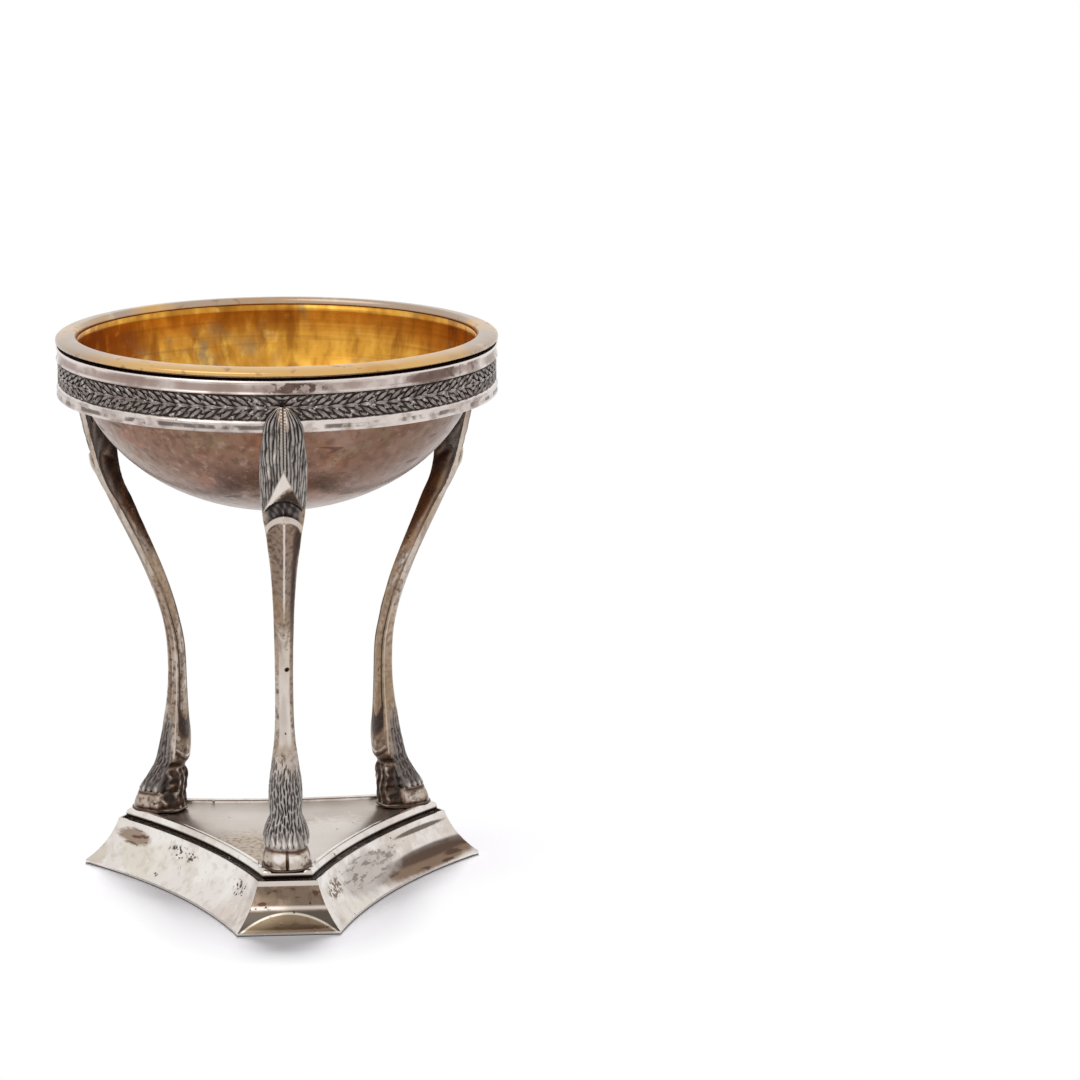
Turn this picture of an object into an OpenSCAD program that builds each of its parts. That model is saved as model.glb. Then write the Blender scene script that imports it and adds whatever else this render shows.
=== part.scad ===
// Tripod salt cellar: a loose gilt bowl in a laurel gallery ring,
// carried by three cast legs with cloven hooves on a hollow three-sided base.
// Millimetres, +Z up, origin at the middle of the base on the table.
// One leg stands at the front, on -Y, and the other two at 120 degrees.

/* [Bowl] */
// Outside diameter of the rim
rim_d = 71; // [64:1:80]
// Width of the thumb-moulded rim wire
rim_w = 3.4; // [2.8:0.1:4.2]
// Height of the rim wire at its crest
rim_h = 1.1; // [0.9:0.1:1.6]
// Distance of the crest from the rim's inner edge
rim_crest = 0.7; // [0.4:0.1:1.2]
// Height of the rim's upright outer edge
rim_edge = 0.35; // [0.2:0.05:0.5]
// Thickness of the bowl's wall
bowl_wall = 0.7; // [0.5:0.05:1]
// Depth of the rounded part of the bowl, outside
bowl_depth = 26.5; // [22:0.5:30]
// Height of the straight collar over the rounded part
collar_h = 0.5; // [0.3:0.1:1.5]
// Thickness of the flange that hangs on the ring
flange_t = 0.6; // [0.4:0.1:1]
// How far the flange stands out from the collar
flange_reach = 1.6; // [1.3:0.1:1.8]
// Free play round the collar, so that the bowl lifts out
bowl_play = 0.5; // [0.3:0.05:0.7]

/* [Gallery ring] */
// Height of the top of the ring over the table
stand_h = 89.4; // [82:1:98]
// Height of the whole ring
ring_h = 8.3; // [7:0.1:10]
// Thickness of the plain inner band
band_wall = 0.8; // [0.6:0.05:1]
// Height of the upper plain fillet
upper_h = 2.4; // [1.8:0.1:2.8]
// Height of the lower bevelled fillet
lower_h = 2.1; // [1.8:0.1:2.6]
// How far both fillets stand out from the band
fillet_t = 1.32; // [1.1:0.02:1.6]
// Thickness of the laurel strip between the fillets
frieze_t = 0.85; // [0.6:0.05:1]

/* [Legs] */
// How far the leg's tip climbs over the bottom of the ring
tip_h = 4.4; // [3:0.1:5]
// Thickness of the leg where it lies on the ring
tongue_t = 1.05; // [0.9:0.05:1.4]
// Width of the haired cuff under the ring
cuff_w = 7.44; // [6.4:0.1:8.4]
// Width of the shank at its narrowest
shank_w = 2.9; // [2.5:0.1:3.3]
// Distance from the axis to the back of the shank
waist_r = 18.3; // [17:0.1:19.5]
// How far the corners of the shank's arched lip hang under its middle
lip_sag = 2.4; // [1.6:0.1:3]
// How far the round end of the tendon hangs down at the back
heel_sag = 0.9; // [0.4:0.1:1.2]
// How far the two dewclaws stand out at the back
claw_out = 0.5; // [0.2:0.1:0.7]

/* [Hooves] */
// Widest width of a hoof
hoof_w = 7.5; // [7:0.1:7.8]
// Length of a hoof from the back of its heel to its toe
hoof_l = 8.9; // [8.2:0.1:9.2]
// Height of a hoof under the fringe of hair
hoof_h = 3.1; // [2.6:0.1:3.6]
// How far the top of the hoof is drawn in, all round
hoof_draw = 0.8; // [0.5:0.05:1.1]
// How much further the toe slopes back at the top
toe_set = 0.45; // [0.2:0.05:0.8]
// Depth of the cleft between the toes
cleft = 0.7; // [0.4:0.05:0.9]
// Height that the cleft hair fringe covers of the hoof
fringe_lap = 0.2; // [0.1:0.05:0.4]
// Thickness of the pad under a hoof
pad_t = 0.5; // [0.3:0.05:0.7]
// How far the pad stands out round the hoof
pad_out = 0.3; // [0.2:0.05:0.45]
// How far the toe stands out over the base's bead
toe_over = 0.3; // [0.1:0.05:0.5]

/* [Base] */
// Distance from the axis to a corner's face at the foot
corner_r = 33.2; // [31:0.1:36]
// Width of a corner's face at the foot
corner_w = 16.2; // [15:0.1:18]
// How far a side is swept in between its ends
side_sweep = 2.95; // [1.5:0.05:4]
// Height of the upright foot edge
foot_h = 0.6; // [0.4:0.1:0.9]
// How far the cove leans in
cove_in = 4.6; // [4:0.1:5.2]
// Height of the top of the cove
cove_top = 7.6; // [7:0.1:8.4]
// Radius of the cove
cove_r = 14; // [9:0.5:20]
// Thickness of the moulding's sheet
sheet_t = 0.9; // [0.7:0.05:1.1]
// Width of the flat lip over the cove
lip_w = 0.35; // [0.25:0.05:0.5]
// Depth of the groove behind the lip
groove_h = 0.7; // [0.4:0.05:0.8]
// Radius of the bead round the top
bead_r = 0.9; // [0.7:0.05:1]
// Width of the groove that shows between the lip and the bead
groove_w = 0.65; // [0.5:0.05:0.8]
// Height of the bead's middle over the lip
bead_lift = 0.7; // [0.6:0.05:0.8]
// Height of the plate's top over the lip
plate_lift = 1; // [0.9:0.05:1.1]
// Room round a hoof's pad where the bead is filed down for it
pad_room = 0.6; // [0.55:0.05:0.8]
// Thickness of the top plate
plate_t = 0.85; // [0.6:0.05:1]
// Width of the ledge that carries the plate
ledge_w = 1; // [0.8:0.1:1.1]

/* [Fastening] */
// Radius of the stud under a hoof
stud_r = 1; // [0.8:0.05:1.2]
// Play round the stud in the plate
stud_play = 0.12; // [0.08:0.01:0.2]
// Distance from the corner's face to the stud
stud_in = 10.8; // [10.4:0.1:11.4]
// Corner radius of the hexagonal nut
nut_r = 2; // [1.7:0.05:2.2]
// Height of the nut
nut_h = 1.6; // [1.2:0.1:2]
// Play between the nut and the stud
nut_play = 0.04; // [0.03:0.01:0.08]
// Length of stud that shows under the nut
stud_end = 0.6; // [0.3:0.1:1]
// Seam filled by solder between soldered pieces
solder = 0.03; // [0.02:0.01:0.05]

/* [Hidden] */
$fn = 96;
overrun = 1;

// Directions in which the legs and the corners point
leg_count = 3;
front = -90;
right = front + 360 / leg_count;
left = front - 360 / leg_count;

silver = [0.76, 0.72, 0.69];
dark_silver = [0.46, 0.43, 0.42];
pink_silver = [0.66, 0.56, 0.52];
gilt = [0.87, 0.72, 0.52];

// Bowl and ring, from the rim inwards and from the ring's top downwards
bowl_r = rim_d / 2 - rim_w + bowl_wall;
bowl_top = stand_h + flange_t;
bowl_mid = stand_h - collar_h;
bowl_steps = 30;
rim_steps = 8;
bore_r = bowl_r + bowl_play;
band_r = bore_r + band_wall;
strip_r = band_r + solder;
frieze_r = strip_r + frieze_t;
fillet_r = strip_r + fillet_t;
ring_bottom = stand_h - ring_h;
lower_top = ring_bottom + lower_h;
upper_bottom = stand_h - upper_h;

// Base, in steps inwards from the foot edge
bead_in = cove_in + lip_w + groove_w;
bead_mid = bead_in + bead_r;
neck_in = bead_in + bead_r / 2;
plate_in = bead_mid + bead_r * 3 / 4;
ledge_in = plate_in + ledge_w;
plate_top = cove_top + plate_lift;
bead_top = cove_top + bead_lift + bead_r;
plate_bottom = plate_top - plate_t;
ledge_top = plate_bottom - solder;
groove_z = cove_top - groove_h;
flange_bottom = groove_z - sheet_t;

// The corner's face is straight and the sides are arcs whose middles lie outside
side_dir = 180 / leg_count;
vertex = [corner_r, corner_w / 2];
side_face = vertex * [cos(side_dir), sin(side_dir)];
side_half = abs(vertex * [-sin(side_dir), cos(side_dir)]);
side_r = (side_half * side_half + side_sweep * side_sweep) / (2 * side_sweep);
side_mid = side_face - side_sweep + side_r;
side_angle = asin(side_half / side_r);
// The joint of corner and side runs through the vertex and the meeting of their beads
joint_back = side_mid * cos(side_dir) - corner_r + bead_in;
joint_half = side_mid * sin(side_dir) - sqrt(pow(side_r + bead_in, 2) - joint_back * joint_back);
mitre = (corner_w / 2 - joint_half) / bead_in;
// How many degrees a side runs on into its corners before it is mitred
side_spare = 0.5;

// Cove: an arc through the top of the foot edge and the lip, bowed inwards
cove_chord = norm([cove_in, cove_top - foot_h]);
cove_off = sqrt(cove_r * cove_r - cove_chord * cove_chord / 4);
cove_mid = [cove_in, cove_top + foot_h] / 2
    + cove_off / cove_chord * [foot_h - cove_top, cove_in];

// Leg: the hoof, then a body up to the ring, then a tongue on the ring
hoof_z = plate_top + solder + pad_t;
fringe_z = hoof_z + hoof_h;
body_h = ring_bottom - fringe_z;
toe_r = corner_r - bead_in + toe_over;
heel_r = toe_r - hoof_l;
seat_r = fillet_r + solder;
leg_run = seat_r - waist_r;
stud_at = corner_r - stud_in;

// Length of the hoof's upright flank and of the narrow heel behind it, as shares of its length
hoof_edge_share = 0.3;
hoof_heel_share = 0.3;
// Half width of the heel, and of the slope from it to the flank, as shares of half the width
heel_half_share = 0.48;
heel_slope_share = 0.34;
// Middle and half width of a dewclaw, as shares of half the leg's width
claw_at_share = 0.62;
claw_half_share = 0.3;
// How square the tongue's sides are, how much its tip thins, and where its seat starts
tongue_power = 0.7;
tongue_thin_share = 0.35;
seat_rise = 8;

// Places round a cross-section, as angles whose sines run across the leg
front_turns = [-90, -72, -56, -42, -28, -15, -5, 0, 5, 15, 28, 42, 56, 72, 90];
back_turns = [90, 68, 48, 32, 16, 0, -16, -32, -48, -68, -90];
cleft_turn = 5;

// Shares of the body's height at which a cross-section is drawn
ring_shares = concat([for (i = [0 : 9]) i * 0.0115],
    [for (i = [0 : 4]) 0.12 + i * 0.022],
    [for (i = [0 : 14]) 0.235 + i * 0.036],
    [0.765, 0.785, 0.801, 0.813, 0.82, 0.83],
    [for (i = [0 : 5]) 0.85 + i * 0.03]);
// Shares of the tongue's height
tongue_shares = [0.22, 0.42, 0.6, 0.76, 0.88, 0.96];

// Back of the leg: share of the height, share of the run from waist to ring
back_shares = [[0, 0.041], [0.055, 0.045], [0.07, 0.05], [0.085, -0.012], [0.113, -0.026],
    [0.142, -0.023], [0.18, -0.009], [0.25, 0], [0.36, 0.016], [0.403, 0.058], [0.447, 0.105],
    [0.534, 0.252], [0.621, 0.436], [0.708, 0.626], [0.788, 0.741], [0.84, 0.814], [0.911, 0.912],
    [1, 1]];
// Front ridge of the leg, in the same shares, up to the tongue
ridge_shares = [[0, 0.5], [0.03, 0.407], [0.045, 0.372], [0.055, 0.348], [0.075, 0.308],
    [0.1, 0.28], [0.15, 0.23], [0.186, 0.21], [0.273, 0.169], [0.316, 0.166], [0.36, 0.175],
    [0.404, 0.204], [0.447, 0.262], [0.534, 0.414], [0.621, 0.611], [0.708, 0.821], [0.788, 0.98],
    [0.813, 1.015], [0.82, 0.946], [0.83, 0.94], [0.85, 0.98], [0.911, 1.034],
    [1, 1 + tongue_t / leg_run]];
// Width: share of the way from the shank's width to the cuff's
width_shares = [[0, 0.94], [0.02, 0.96], [0.045, 0.72], [0.064, 0.45], [0.094, 0.54],
    [0.133, 0.52], [0.16, 0.38], [0.193, 0.25], [0.232, 0.115], [0.292, 0.015], [0.374, 0],
    [0.437, 0.015], [0.5, 0.055], [0.563, 0.106], [0.633, 0.216], [0.667, 0.29], [0.701, 0.395],
    [0.735, 0.475], [0.766, 0.515], [0.8, 0.61], [0.82, 0.727], [0.835, 0.819], [0.89, 1],
    [0.94, 0.98], [1, 0.79]];
// Thickness of the side edges, as a share of the depth
edge_shares = [[0, 0.3], [0.1, 0.34], [0.27, 0.4], [0.6, 0.36], [0.8, 0.3], [0.9, 0.38], [1, 0.75]];
// How sharp the front is: 0 is round, 1 is a straight-sided ridge
keel_shares = [[0, 0], [0.33, 0], [0.45, 0.6], [0.52, 1], [0.76, 1], [0.82, 0.5], [0.9, 0.25], [1, 0]];
// Back hollow as a share of the depth, or swell where it is under 0
hollow_shares = [[0, -0.25], [0.1, -0.2], [0.27, -0.12], [0.45, -0.06], [0.53, 0],
    [0.62, 0.18], [0.7, 0.38], [0.8, 0.5], [0.88, 0.5], [0.955, 0.3], [1, 0]];
// How much of the lip's sag, the tendon's sag, the dewclaws and the narrow heel is there
lip_shares = [[0, 0], [0.7, 0], [0.76, 0.8], [0.79, 1], [0.82, 1], [0.87, 0.35], [0.92, 0], [1, 0]];
heel_shares = [[0, 0], [0.03, 0], [0.074, 1], [0.09, 1], [0.14, 0], [1, 0]];
claw_shares = [[0, 0], [0.02, 0.2], [0.045, 1], [0.06, 0.9], [0.074, 0], [1, 0]];
narrow_shares = [[0, 1], [0.055, 1], [0.08, 0], [1, 0]];

function slope(t, i) = (t[i + 1][1] - t[i][1]) / (t[i + 1][0] - t[i][0]);
function lean(t, i) =
    i == 0 ? slope(t, 0)
    : i == len(t) - 1 ? slope(t, i - 1)
    : slope(t, i - 1) * slope(t, i) <= 0 ? 0
    : 2 * slope(t, i - 1) * slope(t, i) / (slope(t, i - 1) + slope(t, i));
function span(t, x) = max([for (i = [0 : len(t) - 2]) if (i == 0 || x >= t[i][0]) i]);
// A smooth curve through a table, with no overshoot between its points
function curve(t, x) =
    let (i = span(t, x), h = t[i + 1][0] - t[i][0], s = (x - t[i][0]) / h)
    t[i][1] * (1 + 2 * s) * pow(1 - s, 2) + t[i + 1][1] * s * s * (3 - 2 * s)
    + h * (lean(t, i) * s * pow(1 - s, 2) - lean(t, i + 1) * s * s * (1 - s));

// How far the heel's sides have come out to the flank, at a share of half the width
function heel_side(x) =
    let (s = min(max((abs(x) - heel_half_share) / heel_slope_share, 0), 1)) s * s * (3 - 2 * s);

// One cross-section of the leg, with X outwards: first its front, then its back.
// shape is [edge share, keel share, hollow, cleft, lip sag, heel sag, dewclaw, narrow heel].
function section(z, back, ridge, half, shape) =
    let (hollow = max(shape[2], 0), swell = max(-shape[2], 0),
        edge = back + swell + shape[0] * (ridge - back),
        rise = ridge - edge)
    concat(
        [for (a = front_turns) let (x = sin(a),
            bump = shape[1] * (1 - abs(x)) + (1 - shape[1]) * cos(a),
            split = shape[3] * max(0, 1 - abs(a) / cleft_turn))
            [edge + rise * bump - split, half * x, z - shape[4] * x * x]],
        [for (a = back_turns) let (x = sin(a),
            claw = shape[6] * max(0, 1 - pow((abs(x) - claw_at_share) / claw_half_share, 2)))
            [back + hollow * (1 - x * x) - claw
                + swell * (x * x + shape[7] * (heel_side(x) - x * x)), half * x,
                z - shape[4] * x * x - shape[5] * (1 - x * x)]]);

function hoof_section(z, out, back, split) =
    section(z, heel_r - max(out, 0) / 3, toe_r + out - back, hoof_w / 2 + out,
        [hoof_edge_share, 0, -hoof_heel_share * hoof_l, split, 0, 0, 0, 1]);

// Where the leg lies on the ring it follows the ring's round
function round_back(half) = sqrt(seat_r * seat_r - half * half);

function body_half(t) = (shank_w + (cuff_w - shank_w) * curve(width_shares, t)) / 2;
function body_section(t) =
    let (half = body_half(t), seat = round_back(half),
        back = waist_r + (seat - waist_r) * curve(back_shares, t),
        ridge = waist_r + leg_run * curve(ridge_shares, t))
    section(fringe_z + body_h * t, back, ridge, half,
        [curve(edge_shares, t), curve(keel_shares, t),
            curve(hollow_shares, t) * (ridge - back)
                + (seat_r - seat) * max(0, 1 - (1 - t) * seat_rise),
            0, lip_sag * curve(lip_shares, t), heel_sag * curve(heel_shares, t),
            claw_out * curve(claw_shares, t), curve(narrow_shares, t)]);
function tongue_section(t) =
    let (half = body_half(1) * pow(1 - t * t, tongue_power), seat = round_back(half),
        ridge = seat_r + tongue_t * (1 - tongue_thin_share * t * t))
    section(ring_bottom + tip_h * t, seat, ridge, half,
        [curve(edge_shares, 1), 0, seat_r - seat, 0, 0, 0, 0, 0]);

leg_sections = concat(
    [hoof_section(plate_top + solder, pad_out, 0, 0),
        hoof_section(hoof_z, pad_out, 0, 0),
        hoof_section(hoof_z, -hoof_draw / 5, 0, cleft),
        hoof_section(hoof_z + hoof_h / 4, 0, toe_set / 5, cleft),
        hoof_section(hoof_z + hoof_h * 3 / 4, -hoof_draw * 2 / 3, toe_set * 2 / 3, cleft),
        hoof_section(fringe_z + fringe_lap, -hoof_draw, toe_set, 0)],
    [for (t = ring_shares) body_section(t)],
    [for (t = tongue_shares) tongue_section(t)]);

// A closed skin over a stack of cross-sections with the same number of points
module loft(sections) {
    n = len(sections[0]);
    m = len(sections);
    points = [for (s = sections) each s];
    sides = [for (j = [0 : m - 2], i = [0 : n - 1])
        let (k = (i + 1) % n, a = j * n, b = a + n)
        each [[a + i, b + i, b + k], [a + i, b + k, a + k]]];
    polyhedron(points, concat(sides, [[for (i = [0 : n - 1]) i]],
        [[for (i = [n - 1 : -1 : 0]) (m - 1) * n + i]]));
}

module leg(dir) {
    color(silver) rotate([0, 0, dir]) loft(leg_sections);
}

// Rounded bowl with a flange that hangs on the ring's top
module bowl_shell() {
    inner_r = bowl_r - bowl_wall;
    outside = [for (i = [0 : bowl_steps]) let (a = 90 * i / bowl_steps)
        [bowl_r * sin(a), bowl_mid - bowl_depth * cos(a)]];
    inside = [for (i = [bowl_steps : -1 : 0]) let (a = 90 * i / bowl_steps)
        [inner_r * sin(a), bowl_mid - (bowl_depth - bowl_wall) * cos(a)]];
    flange = [[bowl_r, stand_h], [bowl_r + flange_reach, stand_h],
        [bowl_r + flange_reach, bowl_top], [inner_r, bowl_top]];
    color(pink_silver) rotate_extrude() polygon(concat(outside, flange, inside));
}

// Thumb-moulded wire soldered on the flange, highest near its inner edge
module bowl_rim() {
    base = bowl_top + solder;
    crest_r = rim_d / 2 - rim_w + rim_crest;
    inside = [for (i = [0 : rim_steps]) let (a = 90 * i / rim_steps)
        [crest_r - rim_crest * cos(a), base + rim_h * sin(a)]];
    outside = [for (i = [1 : rim_steps]) let (a = 90 * i / rim_steps)
        [crest_r + (rim_w - rim_crest) * sin(a), base + rim_edge + (rim_h - rim_edge) * cos(a)]];
    color(gilt) rotate_extrude() polygon(concat(inside, outside, [[rim_d / 2, base]]));
}

module ring_band() {
    color(silver) rotate_extrude()
        translate([bore_r, ring_bottom]) square([band_wall, ring_h]);
}

// Shallow hollow along a fillet's face, of that height and half width
module fillet_hollow(z, half) {
    deep = half / 4;
    r = (half * half + deep * deep) / (2 * deep);
    translate([fillet_r + r - deep, z]) circle(r = r);
}

// Plain fillet with eased edges, drawn in under its face to meet the laurel
module upper_fillet() {
    ease = fillet_t / 8;
    step = (fillet_t - frieze_t) / 2;
    color(silver) rotate_extrude() difference() {
        polygon([
            [strip_r, upper_bottom], [frieze_r, upper_bottom],
            [fillet_r, upper_bottom + step], [fillet_r, stand_h - ease],
            [fillet_r - ease, stand_h], [strip_r, stand_h]]);
        fillet_hollow((upper_bottom + step + stand_h - ease) / 2, (upper_h - step) / 2 - ease);
    }
}

module laurel_frieze() {
    dip = frieze_t / 10;
    low = lower_top + solder;
    high = upper_bottom - solder;
    color(dark_silver) rotate_extrude() polygon([
        [strip_r, low], [frieze_r, low], [frieze_r - dip, low + dip * 4],
        [frieze_r - dip, high - dip * 4], [frieze_r, high], [strip_r, high]]);
}

// Hollow fillet, drawn in at its foot
module lower_fillet() {
    ease = fillet_t / 8;
    step = fillet_t - frieze_t;
    color(silver) rotate_extrude() difference() {
        polygon([
            [strip_r, ring_bottom], [fillet_r - fillet_t / 2, ring_bottom],
            [fillet_r - ease, ring_bottom + ease], [fillet_r, ring_bottom + ease * 2],
            [fillet_r, lower_top - step], [frieze_r, lower_top], [strip_r, lower_top]]);
        fillet_hollow((ring_bottom + ease * 2 + lower_top - step) / 2,
            (lower_h - step) / 2 - ease * 2);
    }
}

// Section of the base's moulding: X is the step inwards from the foot edge
module moulding() {
    // Foot edge and cove, as a strip between two arcs of one middle
    difference() {
        intersection() {
            translate(cove_mid) circle(r = cove_r + sheet_t);
            square([cove_in + lip_w, cove_top]);
        }
        translate(cove_mid) circle(r = cove_r);
    }
    square([sheet_t * 1.5, foot_h]);
    // Floor of the groove, the lip, and the ledge under the plate
    translate([cove_in, flange_bottom]) square([ledge_in - cove_in, sheet_t]);
    translate([cove_in, flange_bottom]) square([lip_w, cove_top - flange_bottom]);
    translate([neck_in, flange_bottom]) square([ledge_in - neck_in, ledge_top - flange_bottom]);
    // Bead round the top
    difference() {
        union() {
            translate([bead_mid, bead_top - bead_r]) circle(r = bead_r);
            translate([neck_in, flange_bottom])
                square([plate_in - solder - neck_in, bead_top - bead_r - flange_bottom]);
        }
        translate([plate_in - solder, flange_bottom - overrun])
            square([bead_r * 2, bead_top - flange_bottom + 2 * overrun]);
    }
}

// Wedge between the two mitre joints of a corner, with X outwards
module wedge() {
    reach = ledge_in + overrun;
    translate([0, 0, -overrun]) linear_extrude(bead_top + 2 * overrun) polygon([
        [corner_r + 2 * overrun, corner_w / 2 + 2 * overrun * mitre],
        [corner_r - reach, corner_w / 2 - reach * mitre],
        [corner_r - reach, reach * mitre - corner_w / 2],
        [corner_r + 2 * overrun, -corner_w / 2 - 2 * overrun * mitre]]);
}

// Where the bead is filed down flat for a hoof's pad, with X outwards
module pad_seat() {
    r = hoof_w / 2 + pad_out + pad_room;
    translate([toe_r + pad_out + 2 * solder - r, 0, plate_top]) cylinder(r = r, h = 2 * bead_r);
}

module base_corner(dir) {
    color(silver) rotate([0, 0, dir]) difference() {
        intersection() {
            translate([corner_r, corner_w, 0]) rotate([90, 0, 0])
                linear_extrude(2 * corner_w) mirror([1, 0]) moulding();
            wedge();
        }
        pad_seat();
    }
}

module base_side(dir) {
    spread = side_angle + side_spare;
    color(silver) rotate([0, 0, dir]) difference() {
        translate([side_mid, 0, 0]) rotate([0, 0, 180 - spread])
            rotate_extrude(angle = 2 * spread)
                translate([side_r, 0]) moulding();
        for (turn = [-side_dir, side_dir]) rotate([0, 0, turn]) {
            wedge();
            pad_seat();
        }
    }
}

// Top plate, let in behind the bead and resting on the ledge
module base_plate() {
    face = corner_r - plate_in;
    half = corner_w / 2;
    color(silver) difference() {
        translate([0, 0, plate_bottom]) linear_extrude(plate_t) difference() {
            polygon([for (dir = [front, right, left], s = [-1, 1])
                [face * cos(dir) - s * half * sin(dir), face * sin(dir) + s * half * cos(dir)]]);
            for (dir = [front, right, left])
                rotate(dir + side_dir) translate([side_mid, 0]) circle(r = side_r + plate_in);
        }
        for (dir = [front, right, left])
            rotate([0, 0, dir]) translate([stud_at, 0, plate_bottom - overrun])
                cylinder(r = stud_r + stud_play, h = plate_t + 2 * overrun);
    }
}

// Studs brazed under the hooves' pads
module leg_studs() {
    foot = ledge_top - nut_h - stud_end;
    color(silver) for (dir = [front, right, left])
        rotate([0, 0, dir]) translate([stud_at, 0, foot])
            cylinder(r = stud_r, h = plate_top - foot);
}

// Nuts that draw the legs down on the plate
module leg_nuts() {
    color(dark_silver) for (dir = [front, right, left])
        rotate([0, 0, dir]) translate([stud_at, 0, ledge_top - nut_h])
            difference() {
                cylinder(r = nut_r, h = nut_h, $fn = 6);
                translate([0, 0, -overrun])
                    cylinder(r = stud_r + nut_play, h = nut_h + 2 * overrun);
            }
}

module leg_front() leg(front);
module leg_right() leg(right);
module leg_left() leg(left);
module base_corner_front() base_corner(front);
module base_corner_right() base_corner(right);
module base_corner_left() base_corner(left);
module base_side_right() base_side(front + side_dir);
module base_side_back() base_side(right + side_dir);
module base_side_left() base_side(left + side_dir);

bowl_shell();
bowl_rim();
ring_band();
upper_fillet();
laurel_frieze();
lower_fillet();
leg_front();
leg_right();
leg_left();
leg_studs();
leg_nuts();
base_plate();
base_corner_front();
base_corner_right();
base_corner_left();
base_side_right();
base_side_back();
base_side_left();
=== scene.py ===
# %% [markdown]
# Salt cellar, a lesson in small worn silverware.
# The construction comes in as a finished frame: a loose bowl, a ring, three legs and a base.
# Here each surface gets its finish, and what is carved on the real object is carved in the mesh:
# the hair and the hooves of the legs, and the laurel strip of the ring.

# %% Load the frame
import math
import bpy
import numpy as np
from mathutils import Matrix, Vector


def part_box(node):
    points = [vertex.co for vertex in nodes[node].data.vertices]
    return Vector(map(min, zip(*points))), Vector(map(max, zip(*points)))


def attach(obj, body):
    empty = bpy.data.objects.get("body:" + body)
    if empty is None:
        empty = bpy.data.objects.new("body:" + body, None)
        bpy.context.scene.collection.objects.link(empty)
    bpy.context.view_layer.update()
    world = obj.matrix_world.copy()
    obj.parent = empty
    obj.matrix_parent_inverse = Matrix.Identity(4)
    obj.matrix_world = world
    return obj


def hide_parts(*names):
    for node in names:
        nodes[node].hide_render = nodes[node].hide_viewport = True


MM = 0.001
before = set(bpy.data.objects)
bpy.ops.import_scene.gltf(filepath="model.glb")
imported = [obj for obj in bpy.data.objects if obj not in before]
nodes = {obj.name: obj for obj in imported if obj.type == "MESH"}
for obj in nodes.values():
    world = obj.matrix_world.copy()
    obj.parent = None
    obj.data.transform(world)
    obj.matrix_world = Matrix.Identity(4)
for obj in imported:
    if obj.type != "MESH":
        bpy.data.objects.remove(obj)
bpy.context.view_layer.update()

# %% [markdown]
# The camera stands where the photographer stood: far away with a long lens, a little above
# the rim, so that the bowl shows its gilt inside as a flat ellipse. A long lens keeps the
# three legs nearly parallel, which a short one would not.

# %% Camera
PICTURE = 1080
FOCAL_PIXELS = 4455.5
camera_place = Vector((-13.95, -707.34, 212.88)) * MM
camera_look = Vector((0.0775, 0.9733, -0.2160))


def to_scene(thing):
    bpy.context.scene.collection.objects.link(thing)


camera_data = bpy.data.cameras.new("camera")
camera_data.sensor_width = 36
camera_data.lens = FOCAL_PIXELS / PICTURE * camera_data.sensor_width
camera = bpy.data.objects.new("camera", camera_data)
camera.location = camera_place
camera.rotation_euler = camera_look.to_track_quat("-Z", "Y").to_euler()
to_scene(camera)
bpy.context.scene.camera = camera
bpy.context.scene.view_settings.view_transform = "Standard"
print("lens:", round(camera_data.lens, 1), "mm")

# %% [markdown]
# Metal shows what is round it, so the room matters as much as the metal. The world is white
# to the eye and to reflections, and dimmer as a light. A wide soft lamp from the upper left
# models the forms. Another, lower and behind, casts the soft shadow in front of the base. It is
# left out of reflections, where it would burn the rim white. The floor is plain and white.
# A little way off the base it fades to the white of the world. The base has three corners, so
# the distance is measured from a circle with three bulges: sin(3a) is y (3xx - yy) over rrr.

# %% Light and floor
def link(tree, source, target):
    tree.links.new(source, target)


def calc(tree, operation, first, second):
    """One step of a sum. Each part is a number or another node's output."""
    made = tree.nodes.new("ShaderNodeMath")
    made.operation = operation
    for part, socket in zip((first, second), made.inputs):
        if isinstance(part, (int, float)):
            socket.default_value = part
        else:
            link(tree, part, socket)
    return made.outputs[0]


def vector_calc(tree, operation, vector, amount=None):
    made = tree.nodes.new("ShaderNodeVectorMath")
    made.operation = operation
    link(tree, vector, made.inputs[0])
    if amount is not None:
        made.inputs[1].default_value = amount
    return made.outputs


def split(tree, vector):
    made = tree.nodes.new("ShaderNodeSeparateXYZ")
    link(tree, vector, made.inputs[0])
    return made.outputs


def world_light(level):
    """White to the eye and to mirrors, and as bright as level on the object."""
    world = bpy.data.worlds.new("studio")
    world.use_nodes = True
    bpy.context.scene.world = world
    tree = world.node_tree
    tree.nodes.clear()
    path = tree.nodes.new("ShaderNodeLightPath")
    seen = calc(tree, "MAXIMUM", path.outputs["Is Camera Ray"], path.outputs["Is Glossy Ray"])
    seen_all = calc(tree, "MAXIMUM", seen, path.outputs["Is Transmission Ray"])
    mix = tree.nodes.new("ShaderNodeMixShader")
    link(tree, seen_all, mix.inputs[0])
    for socket, strength in ((1, level), (2, 1.0)):
        white = tree.nodes.new("ShaderNodeBackground")
        white.inputs["Color"].default_value = (1, 1, 1, 1)
        white.inputs["Strength"].default_value = strength
        link(tree, white.outputs[0], mix.inputs[socket])
    out = tree.nodes.new("ShaderNodeOutputWorld")
    link(tree, mix.outputs[0], out.inputs[0])


def lamp(name, place, size, watts):
    """A round soft lamp that looks at the middle of the salt."""
    data = bpy.data.lights.new(name, "AREA")
    data.shape = "DISK"
    data.size = size
    data.energy = watts
    thing = bpy.data.objects.new(name, data)
    thing.location = place
    aim = Vector((0, 0, LAMP_AIM)) - Vector(place)
    thing.rotation_euler = aim.to_track_quat("-Z", "Y").to_euler()
    to_scene(thing)
    return thing


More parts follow.
